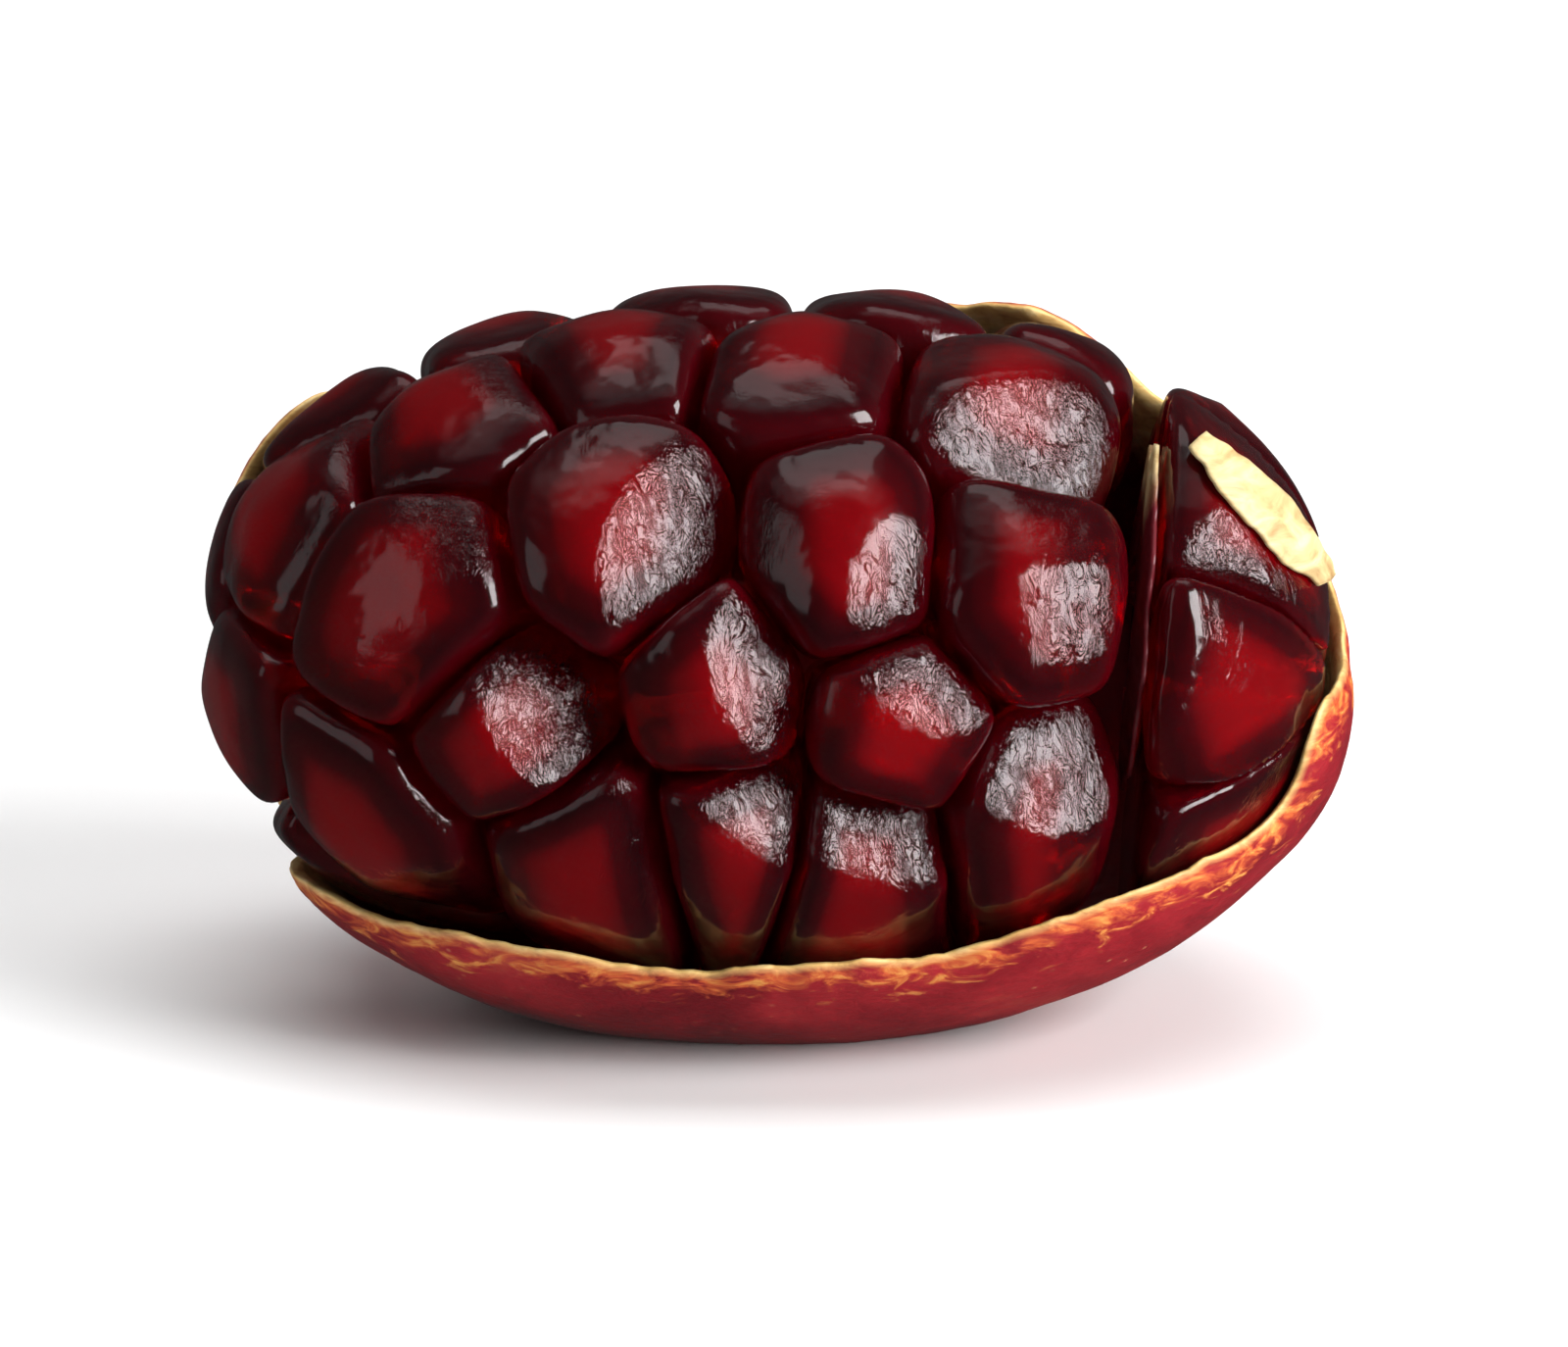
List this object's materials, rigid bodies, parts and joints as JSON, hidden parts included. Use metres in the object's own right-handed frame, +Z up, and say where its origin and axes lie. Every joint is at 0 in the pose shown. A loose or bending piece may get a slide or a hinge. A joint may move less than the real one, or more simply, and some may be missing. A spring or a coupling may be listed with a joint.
{
  "type": "open pomegranate",
  "caption": "Chunk torn from a ripe pomegranate: a cup of leathery rind lying on its back, heaped with tightly packed faceted arils and scraps of papery membrane.",
  "frame": {"origin": "on the resting surface, under the middle of the bounding box", "axes": "+X along the chunk's length towards the end with the septum, +Z up, and the open side faces -Y and up"},
  "size_m": [0.051, 0.0374, 0.0314],
  "materials": {
    "rind": "leathery red skin, cream pith inside and along the torn edge",
    "aril": "wet, glossy, translucent deep red juice sac",
    "membrane": "thin papery cream membrane"
  },
  "bodies": {
    "root": {"rind": "rind", "septum": "membrane", "membrane_flake": "membrane", "aril_01": "aril", "aril_02": "aril", "aril_03": "aril", "aril_04": "aril", "aril_05": "aril", "aril_06": "aril", "aril_07": "aril", "aril_08": "aril", "aril_09": "aril", "aril_10": "aril", "aril_11": "aril", "aril_12": "aril", "aril_13": "aril", "aril_14": "aril", "aril_15": "aril", "aril_16": "aril", "aril_17": "aril", "aril_18": "aril", "aril_19": "aril", "aril_20": "aril", "aril_21": "aril", "aril_22": "aril", "aril_23": "aril", "aril_24": "aril", "aril_25": "aril", "aril_26": "aril", "aril_27": "aril", "aril_28": "aril", "aril_29": "aril", "aril_30": "aril", "aril_31": "aril", "aril_32": "aril", "aril_33": "aril", "aril_34": "aril", "aril_35": "aril", "aril_36": "aril"}
  },
  "joints": []
}
